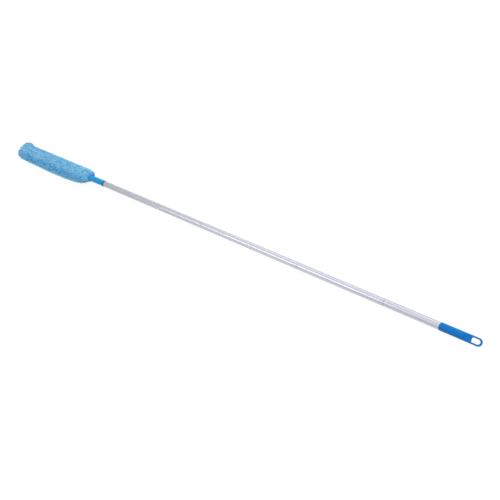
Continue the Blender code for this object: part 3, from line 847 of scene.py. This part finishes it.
def surface_points(vertices, faces, count, draws):
    """Spreads points evenly over a mesh after two rounds of smoothing, with their normals."""
    mesh = bpy.data.meshes.new("pile_guide")
    mesh.from_pydata(vertices, [], faces)
    guide = bpy.data.objects.new("pile_guide", mesh)
    scene.collection.objects.link(guide)
    guide.modifiers.new("rounding", "SUBSURF").levels = cloth_rounding
    bpy.context.view_layer.update()
    shaped = guide.evaluated_get(bpy.context.evaluated_depsgraph_get()).to_mesh()
    shaped.calc_loop_triangles()
    spots = np.array([v.co for v in shaped.vertices])
    normals = np.array([v.normal for v in shaped.vertices])
    triangles = np.array([t.vertices for t in shaped.loop_triangles])
    bpy.data.objects.remove(guide)
    a, b, c = spots[triangles[:, 0]], spots[triangles[:, 1]], spots[triangles[:, 2]]
    area = np.linalg.norm(np.cross(b - a, c - a), axis=1)
    reach = np.cumsum(area) / area.sum()
    chosen = np.searchsorted(reach, (np.arange(count) + draws.random(count)) / count)
    chosen = np.minimum(chosen, len(triangles) - 1)
    u, v = draws.random(count), draws.random(count)
    u, v = np.where(u + v > 1, 1 - u, u), np.where(u + v > 1, 1 - v, v)
    weights = np.stack([1 - u - v, u, v], 1)[:, :, None]
    points = (spots[triangles[chosen]] * weights).sum(1)
    facing = (normals[triangles[chosen]] * weights).sum(1)
    return points, facing / np.linalg.norm(facing, axis=1, keepdims=True)


def smooth_share(value):
    """Eases a value from 0 to 1."""
    held = np.clip(value, 0.0, 1.0)
    return held * held * (3 - 2 * held)


def tuft_points(roots, facing, tips, draws):
    """Gives the 7 points of each tuft: two rings of three, and its tip."""
    count = len(roots)
    middles = roots * (1 - tuft_middle) + tips * tuft_middle + facing * (tuft_length * tuft_bow)
    middles[:, 2] = np.maximum(middles[:, 2], floor_clearance)
    along = tips - roots
    along /= np.linalg.norm(along, axis=1, keepdims=True)
    aside = np.cross(along, draws.normal(size=(count, 3)))
    aside /= np.linalg.norm(aside, axis=1, keepdims=True)
    beside = np.cross(along, aside)
    points = np.zeros((count, 7, 3))
    for corner in range(3):
        angle = 2 * math.pi * corner / 3
        spoke = aside * math.cos(angle) + beside * math.sin(angle)
        points[:, corner] = roots + spoke * tuft_radius
        points[:, corner + 3] = middles + spoke * tuft_radius * tuft_taper
    points[:, 6] = tips
    points[:, :, 2] = np.maximum(points[:, :, 2], floor_clearance)
    return points


def tuft_cells(count):
    """Gives each tuft's faces their own cell of a map: three walls below and three points above."""
    cell = []
    for k in range(3):
        cell += [(k / 3, 0.0), ((k + 1) / 3, 0.0), ((k + 1) / 3, tuft_middle), (k / 3, tuft_middle)]
    for k in range(3):
        cell += [(k / 3, tuft_middle), ((k + 1) / 3, tuft_middle), ((k + 0.5) / 3, 1.0)]
    cells_across = math.ceil(math.sqrt(count))
    number = np.arange(count)
    places = np.stack([number % cells_across, number // cells_across], 1)[:, None]
    return (places + cell_margin + (1 - 2 * cell_margin) * np.array(cell)) / cells_across


def pile_piece(name, roots, facing, tips, tone_and_light_of, rim_shade_of, draws):
    """Makes a piece of pile: a bent three-sided tuft from each root to its tip."""
    count = len(roots)
    first = np.arange(count)[:, None] * 7
    walls = np.array([(k, (k + 1) % 3, (k + 1) % 3 + 3, k + 3) for k in range(3)])
    ends = np.array([(k + 3, (k + 1) % 3 + 3, 6) for k in range(3)])
    own_walls = (first[:, None] + walls).reshape(count, 12)
    own_ends = (first[:, None] + ends).reshape(count, 9)
    corners = np.concatenate([own_walls, own_ends], 1)
    mesh = bpy.data.meshes.new(name)
    mesh.vertices.add(count * 7)
    mesh.vertices.foreach_set("co", tuft_points(roots, facing, tips, draws).ravel())
    mesh.loops.add(count * 21)
    mesh.loops.foreach_set("vertex_index", corners.ravel())
    mesh.polygons.add(count * 6)
    starts = first * 3 + np.array([0, 4, 8, 12, 15, 18])
    mesh.polygons.foreach_set("loop_start", starts.ravel())
    mesh.update(calc_edges=True)
    # Painted shade: dark at each tuft's root, and reaching further up on the high flank
    rises = np.tile([0.0] * 3 + [tuft_middle] * 3 + [1.0], count) * np.repeat(rim_shade_of, 7)
    mesh.attributes.new("tuft_rise", "FLOAT", "POINT").data.foreach_set("value", rises)
    tones_and_light = np.repeat(tone_and_light_of, 7)
    mesh.attributes.new("tuft_luck", "FLOAT", "POINT").data.foreach_set("value", tones_and_light)
    cells = tuft_cells(count).astype(np.float32)
    mesh.uv_layers.new(name="OFBake").uv.foreach_set("vector", cells.ravel())
    mesh.materials.append(plush_pile)
    mesh.shade_smooth()
    made = bpy.data.objects.new(name, mesh)
    scene.collection.objects.link(made)
    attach(made, "sleeve")


# Where the tufts stand, which clump each sticks to, and how far each is laid
draws = np.random.default_rng(11)
roots, facing = surface_points(*lofted(outside), tuft_count, draws)
clump_roots, clump_facing = surface_points(*lofted(outside), clump_count, draws)
near = kdtree.KDTree(clump_count)
for index, spot in enumerate(clump_roots):
    near.insert(Vector(spot), index)
near.balance()
clump_of = np.array([near.find(Vector(spot))[1] for spot in roots])
from_mouth = sleeve_mouth - roots[:, 0]
grown = np.clip(from_mouth / (pile_full_share * sleeve_length), tuft_mouth_share, 1.0)
across_share = smooth_share((roots[:, 1] - open_below) / (laid_above - open_below))
mouth_share = smooth_share(from_mouth / open_mouth_reach)
tip_share = smooth_share((sleeve_length - from_mouth) / open_tip_reach)
laid = across_share * mouth_share * tip_share
clump_laid = np.zeros(clump_count)
np.maximum.at(clump_laid, clump_of, laid)

# Where each tuft's tip lies, between its own free place and its clump's tip
lengths = tuft_length * grown * draws.uniform(*tuft_length_shares, tuft_count)
clump_share = draws.random(clump_count) ** clump_skew
least_height, most_height = clump_heights
clump_height = tuft_length * (least_height + (most_height - least_height) * clump_share)
clump_tips = clump_roots + clump_facing * clump_height[:, None]
clump_tips[:, 0] -= (open_lean + (laid_lean - open_lean) * clump_laid) * clump_height
free_tips = roots + facing * (lengths * (1 + (laid_height - 1) * laid))[:, None]
free_tips[:, 0] -= (open_lean + (laid_lean - open_lean) * laid + tip_lean * (1 - tip_share)) * lengths
free_tips += draws.normal(scale=tuft_scatter, size=roots.shape) * lengths[:, None]
pull = clump_pull * grown[:, None] * draws.uniform(*clump_pull_shares, (tuft_count, 1))
tips = free_tips + (clump_tips[clump_of] - free_tips) * pull
tips[:, 2] = np.maximum(tips[:, 2], floor_clearance)

# How pale each tuft is, by its tone and by painted light, and how far the painted root shade rises
own_share = clump_share[clump_of]
# Short clumps darken, as painted shade between clumps; each tuft also gets a random tone
tone_and_light_of_tuft = clump_painted_shade * own_share + tuft_paleness * draws.random(tuft_count)
# Painted sheen on the laid pile, above a constant tone
tone_and_light_of_tuft += open_paleness + laid_painted_sheen * laid
# More painted shade between clumps where the pile stands open, less where it is laid
tone_and_light_of_tuft += open_clump_painted_shade * (1 - 2 * laid) * (own_share - clump_share.mean())
# Painted sheen on the low flank
tone_and_light_of_tuft += flank_painted_sheen * smooth_share(-side_slope * facing[:, 1] - flank_from)
# Painted highlight round the mouth, half as strong on the low side
near_mouth = smooth_share(1 - from_mouth / mouth_highlight_reach)
off_low_side = smooth_share((roots[:, 1] - mouth_low_side) / mouth_low_reach)
tone_and_light_of_tuft += mouth_painted_highlight * near_mouth * (mouth_low_share + (1 - mouth_low_share) * off_low_side)
# Painted shade on the high flank, which deepens away from the mouth
rim = smooth_share(side_slope * facing[:, 1] - rim_from)
rim_shade_of_tuft = 1 - rim_shade_depth * np.clip(from_mouth / rim_reach, 0.0, 1.0) * rim
upward = facing[:, 2] > np.median(facing[:, 2])
for name, chosen in (("sleeve_pile_upper", upward), ("sleeve_pile_under", ~upward)):
    shape = roots[chosen], facing[chosen], tips[chosen]
    pile_piece(name, *shape, tone_and_light_of_tuft[chosen], rim_shade_of_tuft[chosen], draws)


# The elastic. A flat band of rubber cores covered in ribbed yarn, sewn inside the sleeve's mouth
# so that it closes on the neck.
band_pale = (0.62, 0.74, 0.84, 1.0)
band_deep = (0.34, 0.50, 0.66, 1.0)

band_look, band_shader, band_place = look("elastic_band", Specular_IOR_Level=0.3)
rib_sockets = {"Vector": band_place, "Scale": 420.0, "Distortion": 1.5, "Detail": 2.0}
ribs = band_place.node("TexWave", {"bands_direction": "X"}, rib_sockets, "Fac")
grained(band_shader, ribs, band_deep, band_pale, roughness=(0.60, 0.85), depth=0.0002)
dress("mouth_elastic", band_look)

bpy.context.view_layer.update()
